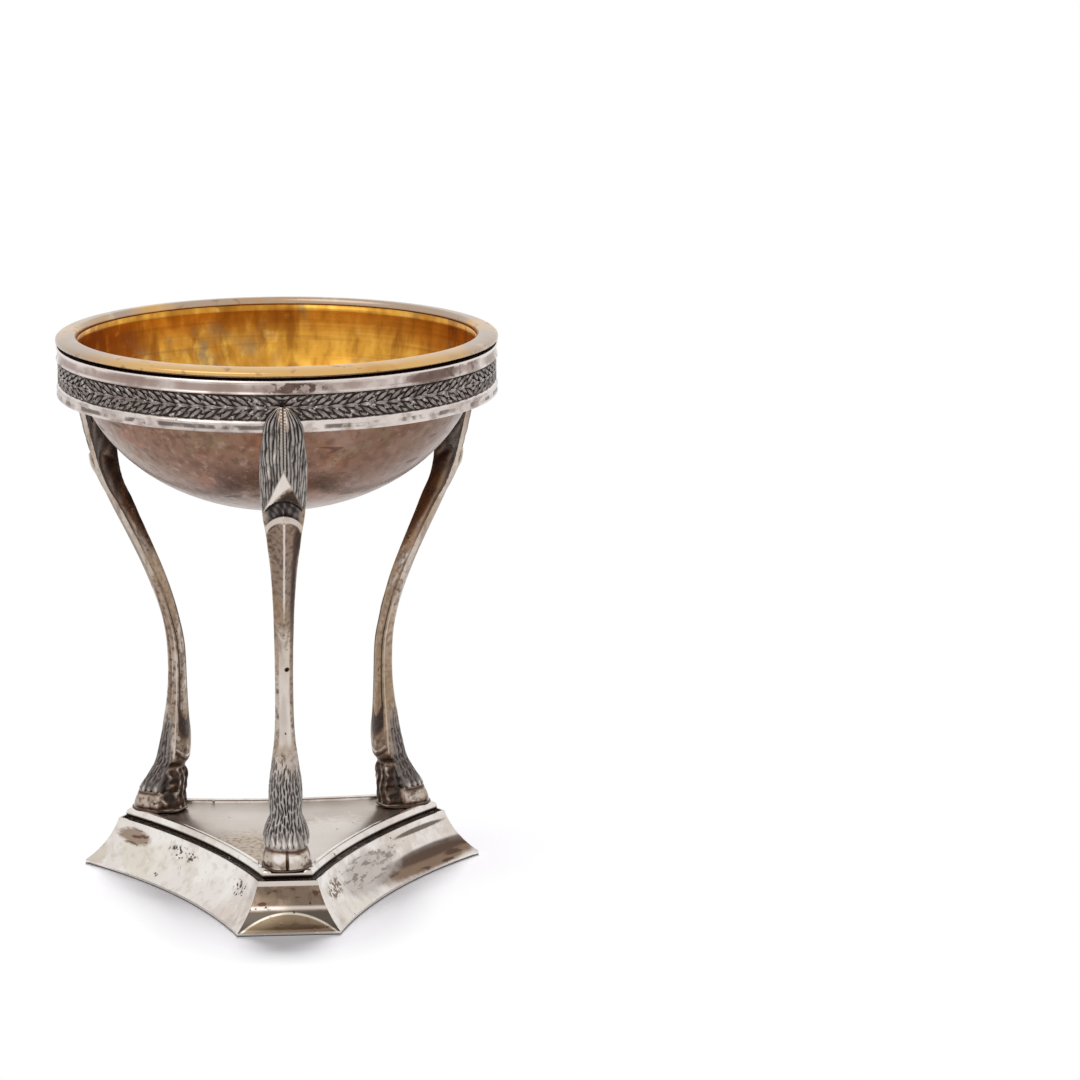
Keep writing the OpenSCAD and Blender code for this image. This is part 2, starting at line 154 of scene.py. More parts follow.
WORLD_LEVEL = 0.33
LAMP_AIM = 45 * MM
world_light(WORLD_LEVEL)
lamp("key", (-0.4, -0.35, 0.8), 0.7, 1.2)
back_lamp = lamp("back", (0.05, 0.8, 0.57), 0.45, 11.5)
back_lamp.visible_glossy = False

CORNER_BULGE = 8.5 * MM
FADE_START = 32 * MM
FADE_END = 40.2 * MM
FLOOR_SIZE = 6


def base_distance(tree):
    """The distance from the middle, less the bulge of the base's three corners."""
    place = tree.nodes.new("ShaderNodeTexCoord").outputs["Object"]
    length = vector_calc(tree, "LENGTH", place)["Value"]
    x, y, _ = split(tree, place)
    x_part = calc(tree, "MULTIPLY", calc(tree, "MULTIPLY", x, x), 3)
    y_part = calc(tree, "MULTIPLY", y, y)
    top = calc(tree, "MULTIPLY", y, calc(tree, "SUBTRACT", x_part, y_part))
    bulge = calc(tree, "DIVIDE", top, calc(tree, "POWER", length, 3))
    return calc(tree, "SUBTRACT", length, calc(tree, "MULTIPLY", bulge, CORNER_BULGE))


bpy.ops.object.select_all(action="DESELECT")
bpy.ops.mesh.primitive_plane_add(size=FLOOR_SIZE)
floor = bpy.context.object
floor.name = "floor"
floor_material = bpy.data.materials.new("floor")
floor_material.use_nodes = True
tree = floor_material.node_tree
floor_shader = tree.nodes["Principled BSDF"]
floor_shader.inputs["Base Color"].default_value = (0.96, 0.95, 0.98, 1)
floor_shader.inputs["Roughness"].default_value = 0.9
floor_shader.inputs["Specular IOR Level"].default_value = 0.0
glow = tree.nodes.new("ShaderNodeEmission")
fade = tree.nodes.new("ShaderNodeMapRange")
fade.inputs["From Min"].default_value = FADE_START
fade.inputs["From Max"].default_value = FADE_END
link(tree, base_distance(tree), fade.inputs["Value"])
floor_mix = tree.nodes.new("ShaderNodeMixShader")
link(tree, fade.outputs["Result"], floor_mix.inputs[0])
link(tree, floor_shader.outputs[0], floor_mix.inputs[1])
link(tree, glow.outputs[0], floor_mix.inputs[2])
link(tree, floor_mix.outputs[0], tree.nodes["Material Output"].inputs["Surface"])
floor.data.materials.append(floor_material)

# %% [markdown]
# Old silver isn't one colour. It was polished by hand for two centuries, so its high places
# are bright and its hollows keep a brown skin. There are cloudy patches, small pits and fine
# scratches. These helpers build that from noise at several scales, in the piece's own
# coordinates, so that the pattern has its real size and stays put.

# %% Helpers for finishes
def tone(red, green, blue):
    """A colour as a picture shows it, each part from 0 to 255, as the linear light it stands for."""
    parts = []
    for part in (red, green, blue):
        share = part / 255
        parts.append(share / 12.92 if share <= 0.04045 else ((share + 0.055) / 1.055) ** 2.4)
    return tuple(parts)


def in_mm(place):
    return tuple(part * MM for part in place)


# How far a finish's roughness wanders either way
ROUGH_SWING = 0.07


class Finish:
    """A metal material that is built up in layers of colour, roughness and fine relief."""

    def __init__(self, name, colour, roughness, turn=0.0):
        self.material = bpy.data.materials.new(name)
        self.material.use_nodes = True
        self.tree = self.material.node_tree
        self.shader = self.tree.nodes["Principled BSDF"]
        self.shader.inputs["Metallic"].default_value = 1.0
        self.place = self.tree.nodes.new("ShaderNodeTexCoord").outputs["Object"]
        if turn:
            mapping = self.node("ShaderNodeMapping")
            mapping.inputs["Rotation"].default_value = (0, 0, -math.radians(turn))
            link(self.tree, self.place, mapping.inputs["Vector"])
            self.place = mapping.outputs["Vector"]
        self.colour = self.node("ShaderNodeRGB").outputs[0]
        self.colour.default_value = (*tone(*colour), 1)
        self.roughness = roughness
        self.rough_layers = []
        self.relief = None

    def node(self, kind, **inputs):
        made = self.tree.nodes.new(kind)
        for name, value in inputs.items():
            made.inputs[name].default_value = value
        return made

    def stretched(self, stretch):
        mapping = self.node("ShaderNodeMapping")
        mapping.inputs["Scale"].default_value = stretch
        link(self.tree, self.place, mapping.inputs["Vector"])
        return mapping.outputs["Vector"]

    def noise(self, size, detail=4.0, stretch=None, shift=0.0, warp=0.0):
        """A noise whose patches are about size metres wide."""
        made = self.node("ShaderNodeTexNoise", Scale=1 / size, Detail=detail, Distortion=warp)
        made.noise_dimensions = "4D"
        made.inputs["W"].default_value = shift
        link(self.tree, self.stretched(stretch) if stretch else self.place, made.inputs["Vector"])
        return made.outputs["Fac"]

    def mask(self, value, low, high, top=1.0):
        """0 where value is under low, top where it is over high, and smooth between them."""
        made = self.node("ShaderNodeMapRange")
        made.interpolation_type = "SMOOTHSTEP"
        made.inputs["From Min"].default_value = low
        made.inputs["From Max"].default_value = high
        made.inputs["To Max"].default_value = top
        link(self.tree, value, made.inputs["Value"])
        return made.outputs["Result"]

    def times(self, product, *others):
        for other in others:
            product = calc(self.tree, "MULTIPLY", product, other)
        return product

    def layer(self, mask, colour, rough=None):
        """Lays a colour over what is there, where mask is."""
        mix = self.node("ShaderNodeMix")
        mix.data_type = "RGBA"
        link(self.tree, mask, mix.inputs["Factor"])
        link(self.tree, self.colour, mix.inputs["A"])
        mix.inputs["B"].default_value = (*tone(*colour), 1)
        self.colour = mix.outputs["Result"]
        if rough is not None:
            self.rough_layers.append((mask, rough))

    def blotches(self, size, low, high, top, colour, rough=None, **kinds):
        """Lays a colour in blotches about size wide. A lower low makes more of them."""
        self.layer(self.mask(self.noise(size, **kinds), low, high, top), colour, rough)

    def attribute(self, name):
        made = self.node("ShaderNodeAttribute")
        made.attribute_name = name
        return made.outputs["Fac"]

    def along(self, axis, low, high, top=1.0):
        """0 at low and top at high along an axis, in metres."""
        return self.mask(split(self.tree, self.place)[axis], low, high, top)

    def height(self, low, high, top=1.0):
        return self.along("Z", low, high, top)

    def band(self, low, high, soft):
        """1 between two heights, with soft edges."""
        return self.times(self.height(low - soft, low + soft), self.height(high + soft, high - soft))

    def facing_up(self, low, high):
        """1 where the surface looks up more than high, or down when low is over high."""
        normal = self.node("ShaderNodeNewGeometry").outputs["True Normal"]
        return self.mask(split(self.tree, normal)["Z"], low, high)

    def patch(self, middle, reach, ragged, top):
        """1 inside a ragged patch round middle, with that reach along each axis, in millimetres."""
        middle, reach = in_mm(middle), in_mm(reach)
        offset = vector_calc(self.tree, "SUBTRACT", self.place, middle)["Vector"]
        share = vector_calc(self.tree, "DIVIDE", offset, reach)["Vector"]
        length = vector_calc(self.tree, "LENGTH", share)["Value"]
        rough = self.times(self.noise(min(reach) * 0.7, shift=sum(middle) * 900), 2 * ragged)
        edge = calc(self.tree, "ADD", rough, length)
        return self.mask(edge, 1.15 + ragged, 0.7 + ragged, top)

    def stain_and_reflection(self, middle, reach, ragged, top, colour, rough=None):
        self.layer(self.patch(middle, reach, ragged, top), colour, rough)

    def marks(self, middle, reach, size, low, colour, rough, stretch=None):
        """Small marks of about that size inside a patch. A lower low makes more of them."""
        spots = self.noise(size, detail=3.0, stretch=stretch, shift=sum(in_mm(middle)) * 700)
        spots = self.mask(spots, low, low + 0.06)
        self.layer(self.times(self.patch(middle, reach, 0.35, 1.0), spots), colour, rough)

    def bump(self, value, depth):
        """Adds fine relief of that depth in metres."""
        made = self.node("ShaderNodeBump", Strength=1.0, Distance=depth)
        link(self.tree, value, made.inputs["Height"])
        if self.relief is not None:
            link(self.tree, self.relief, made.inputs["Normal"])
        self.relief = made.outputs["Normal"]

    def grain(self, size, depth):
        self.bump(self.noise(size, shift=4.0), depth)

    def done(self):
        link(self.tree, self.colour, self.shader.inputs["Base Color"])
        base = self.node("ShaderNodeMapRange")
        base.inputs["To Min"].default_value = self.roughness - ROUGH_SWING
        base.inputs["To Max"].default_value = self.roughness + ROUGH_SWING
        link(self.tree, self.noise(0.004, shift=9.0), base.inputs["Value"])
        rough = base.outputs["Result"]
        for mask, value in self.rough_layers:
            mix = self.node("ShaderNodeMix")
            link(self.tree, mask, mix.inputs["Factor"])
            link(self.tree, rough, mix.inputs["A"])
            mix.inputs["B"].default_value = value
            rough = mix.outputs["Result"]
        link(self.tree, rough, self.shader.inputs["Roughness"])
        if self.relief is not None:
            link(self.tree, self.relief, self.shader.inputs["Normal"])
        return self.material


def add_pits(finish, size, low, colour, depth=0.00006):
    """Small pits about size wide. A lower low makes more of them."""
    spots = finish.noise(size, detail=2.0, shift=3.0)
    finish.layer(finish.mask(spots, low, low + 0.05), colour, 0.6)
    finish.bump(finish.mask(spots, low + 0.05, low - 0.03), depth)


def add_age(finish, cloud, brown):
    """Cloudy patches, brown skin, pits and scratches, as all the silver here has."""
    finish.blotches(0.012, 0.45, 0.65, 0.7, cloud, shift=1.0)
    finish.blotches(0.006, 0.56, 0.72, 0.6, brown, 0.4, shift=2.0, warp=0.6)
    add_pits(finish, 0.0012, 0.7, PIT, 0.00008)
    fine = (0.08, 0.5, 1.0)
    finish.blotches(0.0009, 0.66, 0.72, 0.25, PALE_SCRATCH, detail=1.0, stretch=fine, shift=8.0)
    finish.grain(0.0007, 0.000012)


print("helpers ready")

# %% [markdown]
# The finishes. The base is pale polished silver with pinkish clouds. The plate is the dullest
# flat surface. The rim still has thin pale gilding, and the inside of the bowl has deep gilding
# that salt and spoons have worn to grey in places. Its outside has gone a pinkish brown.
# The legs and the laurel strip read an attribute named wear_and_shading, which is 1 on what a
# polishing cloth reaches and 0 in the hollows. On the legs it also holds painted shade and painted
# highlights. The legs also read one named hair, which is 1 where there is hair. Both are written
# when these pieces are carved.

# %% Silver and gilt
SILVER = (226, 219, 213)
PALE_SCRATCH = (240, 234, 230)
PINK_CLOUD = (201, 186, 176)
BROWN_SKIN = (140, 116, 100)
GREY_CLOUD = (172, 160, 154)
DARK_GROUND = (52, 44, 41)
PIT = (84, 66, 56)

# The base's groove: the height of its lip, and how high the dark band climbs on the bead behind it
LIP_TOP = 7.62 * MM
BEAD_DARK_TOP = 8.2 * MM

# How high the painted highlight along the mouldings' feet reaches, and the painted contact shadow
# under that, along the table
FOOT_HIGHLIGHT_TOP = 0.5 * MM
FOOT_SHADOW_LINE = 0.17 * MM

# The arch at a corner's foot: its top, the width of its line, and its fall for a metre squared
ARCH_TOP = 3.1 * MM
ARCH_LINE = 0.3 * MM
ARCH_FALL = 42.0

# The bright band across a corner, and where its bright top starts
BAND_LOW = 3.45 * MM
BAND_HIGH = 3.95 * MM
CORNER_TOP = 6.75 * MM


def moulding_silver():
    made = Finish("moulding_silver", SILVER, 0.2)
    add_age(made, PINK_CLOUD, BROWN_SKIN)
    made.blotches(0.009, 0.5, 0.64, 0.6, (240, 236, 231), 0.16, shift=15.0, warp=0.6)
    made.blotches(0.011, 0.52, 0.66, 0.5, (212, 203, 184), shift=16.0, warp=0.6)
    made.blotches(0.0016, 0.5, 0.66, 0.5, (196, 186, 177), detail=6.0, shift=12.0)
    made.blotches(0.008, 0.58, 0.7, 0.45, (158, 142, 130), 0.35, stretch=(1, 1, 0.12), shift=6.0)
    add_groove_dark(made)
    # Stains and scratches of the left side, then those of the right side, where the dark band under
    # the groove and the brown lens low down are painted reflections
    made.stain_and_reflection((-24.5, 5.9, 5.5), (3.8, 5.0, 1.15), 0.25, 0.9, (146, 124, 106), 0.35)
    made.marks((-24.5, 5.9, 5.5), (3.8, 5.0, 1.3), 0.0014, 0.5, (108, 80, 68), 0.4, (0.4, 0.4, 2.0))
    made.stain_and_reflection((-31.2, 9.6, 2.0), (3.0, 3.0, 2.5), 0.35, 0.6, (196, 184, 164))
    for middle, reach in (((-16.4, -5.0, 5.6), (3.6, 5.2, 1.1)),
                          ((-7.7, -23.5, 5.0), (1.7, 3.5, 1.4))):
        made.marks(middle, reach, 0.0007, 0.52, (92, 80, 74), 0.5)
    # A dark band under the groove on the right side: painted reflection
    made.stain_and_reflection((22.5, 3.6, 6.35), (6.5, 8.5, 0.42), 0.2, 0.9, (92, 78, 68), 0.35)
    made.marks((15.7, -7.1, 5.1), (4.2, 7.0, 1.2), 0.0009, 0.48, (110, 98, 91), 0.4, (0.5, 0.5, 1.5))
    # The brown lens low on the right side, with a darker core and dark mottling: painted reflection
    lens = (24.0, 1.0, 1.9)
    made.stain_and_reflection(lens, (13.5, 18.0, 1.45), 0.12, 0.95, (122, 96, 76), 0.26)
    made.stain_and_reflection((25.0, 2.5, 2.8), (12.5, 16.0, 1.0), 0.05, 0.85, (78, 60, 51), 0.3)
    made.marks(lens, (13.5, 18.0, 1.6), 0.0022, 0.55, (86, 67, 56), 0.3, (0.3, 0.3, 1.8))
    made.marks((7.6, -23.8, 4.8), (2.2, 3.8, 1.5), 0.0006, 0.46, (126, 106, 92), 0.4)
    made.stain_and_reflection((13.0, -12.0, 4.0), (8.0, 12.0, 3.0), 0.5, 0.75, (174, 164, 157), 0.25)
    flat = (0.35, 0.35, 1.8)
    made.marks((13.0, -12.0, 4.6), (7.0, 11.0, 2.4), 0.0012, 0.5, (138, 127, 120), 0.3, flat)
    add_foot(made, (238, 233, 228), 0.8)
    return made.done()


def add_foot(made, pale, share):
    """A painted highlight on the edge that the base stands on, and a painted contact shadow along it.
    """
    soft = 0.1 * MM
    # A painted highlight along the foot, then a painted contact shadow where it meets the table
    made.layer(made.height(FOOT_HIGHLIGHT_TOP + soft, FOOT_HIGHLIGHT_TOP - soft, share), pale)
    made.layer(made.height(FOOT_SHADOW_LINE + soft / 2, FOOT_SHADOW_LINE - soft / 2, 0.9), (72, 62, 62), 0.5)


def add_groove_dark(made):
    """Darkens the bead behind the groove, and the groove's floor where it looks up."""
    bead_dark = made.times(made.height(LIP_TOP, LIP_TOP + 0.05 * MM),
                           made.height(BEAD_DARK_TOP + 0.3 * MM, BEAD_DARK_TOP - 0.1 * MM))
    made.layer(bead_dark, (66, 52, 45), 0.5)
    under_lip = made.height(LIP_TOP - 0.2 * MM, LIP_TOP - 0.4 * MM)
    made.layer(made.times(made.facing_up(0.9, 0.97), under_lip), (58, 46, 40), 0.5)


def arch(made, top):
    """1 under an arch over the middle of a corner."""
    soft = 0.08 * MM
    x, _, z = split(made.tree, made.place)
    fall = made.times(x, x, ARCH_FALL)
    return made.mask(calc(made.tree, "ADD", fall, z), top + soft, top - soft)


def corner_silver(place, turn):
    """A brown corner with a bright band across it, and a paler arch at its foot."""
    made = Finish(f"corner_silver_{place}", (122, 105, 90), 0.22, turn=turn)
    made.blotches(0.003, 0.46, 0.62, 0.8, (146, 126, 108), detail=6.0, shift=1.0)
    made.blotches(0.0012, 0.48, 0.64, 0.6, (100, 82, 70), 0.3, detail=6.0, shift=3.0)
    flat = (0.6, 0.6, 1.3)
    made.blotches(0.0014, 0.6, 0.66, 0.85, (84, 56, 48), 0.4, detail=3.0, stretch=flat, shift=2.0)
    made.layer(made.height(ARCH_TOP + 0.2 * MM, ARCH_TOP), (92, 84, 75), 0.25)
    made.layer(arch(made, ARCH_TOP), (206, 196, 180), 0.2)
    inner = arch(made, ARCH_TOP - ARCH_LINE)
    made.layer(inner, (138, 119, 97), 0.24)
    mottle = made.mask(made.noise(0.002, shift=5.0), 0.5, 0.66, 0.7)
    made.layer(made.times(inner, mottle), (112, 94, 76))
    made.layer(made.band(BAND_LOW, BAND_HIGH, 0.2 * MM), (206, 196, 186), 0.2)
    made.layer(made.height(CORNER_TOP, CORNER_TOP + 0.2 * MM), (206, 197, 188), 0.2)
    add_pits(made, 0.0009, 0.68, (70, 54, 46))
    add_groove_dark(made)
    add_foot(made, (236, 230, 224), 0.9)
    return made.done()


def plate_silver():
    made = Finish("plate_silver", (206, 196, 187), 0.36)
    made.blotches(0.012, 0.42, 0.6, 0.8, (188, 176, 165), shift=1.0)
    made.blotches(0.02, 0.5, 0.62, 0.6, (217, 209, 200), shift=7.0)
    made.blotches(0.005, 0.6, 0.72, 0.5, (164, 148, 134), shift=2.0, warp=0.6)
    made.stain_and_reflection((9.0, -12.0, 8.6), (10.0, 16.0, 1.5), 0.6, 0.7, (222, 215, 208), 0.3)
    made.stain_and_reflection((-6.5, -16.0, 8.6), (7.0, 12.0, 1.5), 0.8, 0.6, (190, 172, 150), 0.4)
    made.marks((-7.5, -14.0, 8.6), (6.0, 9.0, 1.5), 0.0007, 0.52, (160, 140, 122), 0.4)
    add_pits(made, 0.0012, 0.72, (120, 100, 86))
    made.grain(0.0007, 0.00002)
    return made.done()


def ring_silver():
    made = Finish("ring_silver", (220, 209, 203), 0.22)
    add_age(made, GREY_CLOUD, (128, 108, 98))
    made.blotches(0.004, 0.48, 0.66, 0.75, (140, 120, 110), 0.35, detail=7.0, shift=5.0)
    lines = (0.05, 0.05, 1.0)
    made.blotches(0.0005, 0.6, 0.7, 0.35, (132, 114, 106), 0.35, detail=1.0, stretch=lines, shift=6.0)
    for middle, reach in (((1.0, -35.3, 88.2), (6.5, 4.0, 0.9)),
                          ((27.0, -23.0, 88.3), (8.0, 8.0, 0.9))):
        made.marks(middle, reach, 0.0016, 0.46, (96, 78, 70), 0.4)
    low, high = (corner[2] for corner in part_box("lower_fillet"))
    tall = high - low
    hollow = made.band(low + 0.3 * tall, low + 0.62 * tall, 0.12 * MM)
    dark = made.mask(made.noise(0.0026, detail=9.0, shift=14.0), 0.43, 0.58, 0.85)
    made.layer(made.times(hollow, dark), (92, 80, 75), 0.38)
    edge = made.times(made.height(low + 0.8 * tall, high), made.height(high + 0.1 * MM, high))
    made.layer(edge, (232, 224, 219), 0.2)
    low, seat = (corner[2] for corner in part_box("upper_fillet"))
    tall = seat - low
    hollow = made.band(low + 0.26 * tall, low + 0.74 * tall, 0.14 * MM)
    brown = made.mask(made.noise(0.007, detail=5.0, shift=15.0), 0.42, 0.58, 0.8)
    made.layer(made.times(hollow, brown), (152, 129, 119), 0.36)
    made.stain_and_reflection((24.0, -26.0, 88.3), (6.0, 6.0, 1.3), 0.4, 0.85, (104, 84, 76), 0.4)
    made.layer(made.height(seat - 0.4 * MM, seat - 0.3 * MM), (228, 217, 210), 0.2)
    # Painted shade on the ring's seat just under the bowl's rim
    shade_under_rim = made.times(made.facing_up(0.9, 0.97), made.height(seat - 0.2 * MM, seat - 0.1 * MM))
    made.layer(shade_under_rim, (60, 48, 42), 0.5)
    return made.done()


def rim_gilt():
    """Thin gilding, left in the front and worn to grey where hands held the rim."""
    made = Finish("rim_gilt", (216, 174, 112), 0.22)
    made.blotches(0.010, 0.48, 0.62, 0.7, (200, 152, 86), shift=1.5)
    worn = made.mask(made.noise(0.018, shift=1.5), 0.36, 0.5)
    made.layer(made.times(made.along("Y", -30 * MM, -14 * MM), worn), (177, 156, 137), 0.24)
    made.stain_and_reflection((-2.0, 41.0, 91.0), (22.0, 9.0, 4.0), 0.3, 0.9, (190, 140, 70))
    made.blotches(0.005, 0.58, 0.7, 0.6, (216, 196, 172), shift=2.5)
    made.blotches(0.0024, 0.6, 0.7, 0.8, (160, 122, 86), 0.3, shift=3.5)
    # Painted shade on the rim's faces that look down
    made.layer(made.facing_up(-0.3, -0.7), (44, 32, 27), 0.5)
    made.grain(0.0008, 0.00001)
    return made.done()


def gilt_inside():
    """Deep gilding with upright streaks and grey worn patches."""
    made = Finish("gilt_inside", (226, 166, 66), 0.3)
    made.blotches(0.016, 0.45, 0.62, 0.8, (178, 116, 40), shift=1.0)
    made.blotches(0.0035, 0.5, 0.64, 0.75, (150, 92, 30), detail=5.0, stretch=(1, 1, 0.2), shift=4.0)
    made.blotches(0.008, 0.51, 0.68, 0.85, (160, 138, 100), 0.4, shift=2.0, warp=0.8)
    made.stain_and_reflection((-27.0, 14.0, 82.0), (9.0, 14.0, 8.0), 0.5, 0.7, (152, 78, 28), 0.35)
    made.blotches(0.003, 0.6, 0.72, 0.7, (226, 184, 108), shift=3.0)
    flecks = made.noise(0.0018, detail=8.0, stretch=(1, 1, 0.5), shift=12.0)
    made.layer(made.mask(flecks, 0.42, 0.76, 0.7), (160, 104, 36), 0.36)
    made.layer(made.mask(flecks, 0.48, 0.26, 0.6), (244, 196, 92), 0.26)
    turning = made.noise(0.0006, detail=1.0, stretch=(0.02, 0.02, 1.0), shift=5.0)
    made.layer(made.mask(turning, 0.58, 0.68, 0.25), (146, 96, 40))
    made.bump(turning, 0.00002)
    return made.done()


def bowl_outside():
    """The underside was gilt or coppery once, and has gone a mottled red brown."""
    made = Finish("bowl_outside", (136, 103, 86), 0.24)
    made.blotches(0.015, 0.45, 0.65, 0.8, (112, 84, 71), shift=1.0, warp=0.5)
    made.blotches(0.010, 0.5, 0.64, 0.7, (150, 98, 74), shift=9.0, warp=0.8)
    made.blotches(0.007, 0.52, 0.66, 0.6, (140, 124, 100), shift=11.0, warp=0.8)
    made.blotches(0.0016, 0.42, 0.66, 0.6, (98, 72, 60), 0.32, detail=8.0, shift=12.0)
    made.blotches(0.0012, 0.52, 0.7, 0.6, (166, 140, 126), 0.22, detail=6.0, shift=13.0)
    made.blotches(0.006, 0.57, 0.72, 0.6, (164, 140, 128), shift=2.0)
    made.blotches(0.0025, 0.6, 0.72, 0.7, (94, 68, 56), 0.4, shift=3.0)
    flat = (0.35, 0.35, 1.6)
    made.blotches(0.0022, 0.68, 0.72, 0.7, (86, 62, 52), 0.45, detail=1.0, stretch=flat, shift=7.0)
    # Painted reflection: the bottom of the bowl is paler
    made.layer(made.height(67.5 * MM, 65.0 * MM, 0.6), (156, 138, 130))
    # Painted shade: the bowl darkens towards its right side
    made.layer(made.along("X", 0.0, 20 * MM, 0.45), (104, 74, 58))
    made.grain(0.001, 0.00002)
    return made.done()


def add_wear_and_shading(made, skin, ground, shine):
    """Colours by how much a cloth reaches, and on the legs by painted shade and highlights too:
    ground in the hollows, skin half way, shine on top.
    """
    wear_and_shading = made.attribute("wear_and_shading")
    made.layer(made.mask(wear_and_shading, 0.64, 0.36, 0.95), skin, 0.36)
    made.layer(made.mask(wear_and_shading, 0.38, 0.08), ground, 0.5)
    made.layer(made.mask(wear_and_shading, 0.78, 1.0, 0.9), shine, 0.18)


# Each grey of the hair comes in as wear and painted shading falls from the first value to the second
HAIR_GREYS = ((1.0, 0.5, (166, 160, 156)), (0.6, 0.3, (108, 101, 98)), (0.34, 0.08, (50, 44, 43)))


def leg_silver():
    made = Finish("leg_silver", (200, 188, 177), 0.24)
    wear_and_shading = made.attribute("wear_and_shading")
    hair = made.attribute("hair")
    made.blotches(0.008, 0.42, 0.62, 0.8, (180, 164, 150), shift=1.0, warp=0.4)
    gilt = made.noise(0.006, stretch=(1, 1, 0.35), shift=5.0)
    high_up = made.height(16 * MM, 26 * MM)
    made.layer(made.times(made.mask(gilt, 0.5, 0.64, 0.55), high_up), (166, 144, 120))
    tall = (1, 1, 0.16)
    made.blotches(0.0016, 0.5, 0.66, 0.6, (134, 112, 94), 0.3, detail=3.0, stretch=tall, shift=6.0)
    add_wear_and_shading(made, (134, 113, 98), DARK_GROUND, (232, 224, 218))
    grain = made.mask(made.noise(0.0008, detail=8.0, shift=9.0), 0.44, 0.64, 0.8)
    made.layer(made.times(grain, made.mask(wear_and_shading, 0.8, 0.62)), (84, 64, 54), 0.32)
    half_worn = made.times(made.mask(wear_and_shading, 0.2, 0.45), made.mask(wear_and_shading, 0.8, 0.6))
    made.layer(made.times(half_worn, made.mask(gilt, 0.46, 0.6, 0.6), high_up), (154, 128, 100))
    # The back of the right leg has kept some gilding over the dark ground
    mottle = made.mask(made.noise(0.003, detail=6.0, shift=13.0), 0.36, 0.6, 0.9)
    back = made.times(made.mask(wear_and_shading, 0.7, 0.5), mottle)
    gilded = made.times(made.height(42 * MM, 56 * MM), made.height(68 * MM, 60 * MM))
    right_leg = made.times(made.along("X", 12 * MM, 16 * MM), gilded)
    made.layer(made.times(right_leg, back, made.mask(hair, 0.5, 0.1)), (150, 114, 84), 0.28)
    # Hair keeps a grey skin that the brown streaks don't reach. It is darker on the far legs
    for low, high, grey in HAIR_GREYS:
        made.layer(made.times(hair, made.mask(wear_and_shading, low, high, 0.95)), grey)
    far_legs = made.times(made.along("Y", -10 * MM, 0.0), made.height(30 * MM, 24 * MM))
    made.layer(made.times(far_legs, hair, made.mask(wear_and_shading, 0.95, 0.5, 0.6)), (70, 60, 56), 0.4)
    # The small pit in the front leg
    made.stain_and_reflection((0.4, -21.4, 40.4), (0.45, 1.2, 0.45), 0.1, 1.0, (38, 28, 25), 0.6)
    add_pits(made, 0.0011, 0.69, PIT)
    made.grain(0.0008, 0.000015)
    return made.done()


def laurel_silver():
    made = Finish("laurel_silver", (160, 150, 146), 0.26)
    made.blotches(0.008, 0.42, 0.62, 0.8, (138, 128, 123), shift=1.0, warp=0.4)
    add_wear_and_shading(made, (98, 87, 82), (58, 50, 47), (202, 194, 190))
    made.blotches(0.0008, 0.5, 0.62, 0.7, (92, 84, 80), 0.4, detail=3.0, shift=7.0)
    made.blotches(0.0006, 0.58, 0.66, 0.7, (206, 200, 196), 0.2, detail=2.0, shift=8.0)
    add_pits(made, 0.0013, 0.7, PIT)
    made.grain(0.0008, 0.000015)
    return made.done()


def dull_silver():
    made = Finish("dull_silver", (150, 140, 134), 0.45)
    add_age(made, GREY_CLOUD, BROWN_SKIN)
    return made.done()


finishes = {
    "moulding": moulding_silver(),
    "plate": plate_silver(),
    "ring": ring_silver(),
    "rim": rim_gilt(),
    "inside": gilt_inside(),
    "outside": bowl_outside(),
    "leg": leg_silver(),
    "laurel": laurel_silver(),
    "dull": dull_silver(),
}
LEGS = 3
ARC = 360 / LEGS
PLACES = ("front", "right", "left")
for number, place in enumerate(PLACES):
    finishes[f"corner_{place}"] = corner_silver(place, number * ARC)
print("finishes:", ", ".join(finishes))

# %% [markdown]
# The turned and mitred pieces keep the shapes that the frame gives them. Real edges are never
# sharp, and a sharp edge shows no highlight, so each piece is welded and all but the bowl's two
# pieces get a tiny bevel, as live modifiers which leave its own mesh as it came. The bowl takes
# two finishes: faces that look towards the bowl's middle are inside.

# %% Finish the plain pieces
EDGE = 0.09 * MM
WELD = 0.002 * MM
SHARP = math.radians(35)


def dress(node, finish, bevel=EDGE):
    piece = nodes[node]
    piece.data.materials.clear()
    piece.data.materials.append(finishes[finish])
    for face in piece.data.polygons:
        face.use_smooth = True
    joined = piece.modifiers.new("weld", "WELD")
    joined.merge_threshold = WELD
    if bevel:
        rounding = piece.modifiers.new("bevel", "BEVEL")
        rounding.width = bevel
        rounding.segments = 2
        rounding.limit_method = "ANGLE"
        rounding.angle_limit = SHARP
        rounding.harden_normals = True
    return piece


for place in PLACES:
    dress(f"base_corner_{place}", f"corner_{place}")
for place in ("right", "back", "left"):
    dress(f"base_side_{place}", "moulding")
dress("base_plate", "plate")
for name in ("ring_band", "upper_fillet", "lower_fillet"):
    dress(name, "ring")
for name in ("leg_studs", "leg_nuts"):
    dress(name, "dull")
dress("bowl_rim", "rim", bevel=0)
bowl = dress("bowl_shell", "outside", bevel=0)
bowl.data.materials.append(finishes["inside"])
bowl_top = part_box("bowl_shell")[1][2]
bowl_middle = Vector((0, 0, bowl_top))
for face in bowl.data.polygons:
    towards = face.normal.dot(bowl_middle - face.center)
    upwards = face.normal.z > 0.99 and face.center.z > bowl_top - 0.1 * MM
    face.material_index = 1 if towards > 0 or upwards else 0
print("inside faces:", sum(f.material_index for f in bowl.data.polygons))

# %% [markdown]
# The laurel strip was rolled in a long ribbon and bent round the ring. It is made like that:
# one sprig of seven leaves and four berries is modelled flat at the front, then copied round
# the ring. The sprigs grow away from each leg and meet half way to the next one.
# A leaf is a squashed ball, drawn out to a point, with a groove along its middle.

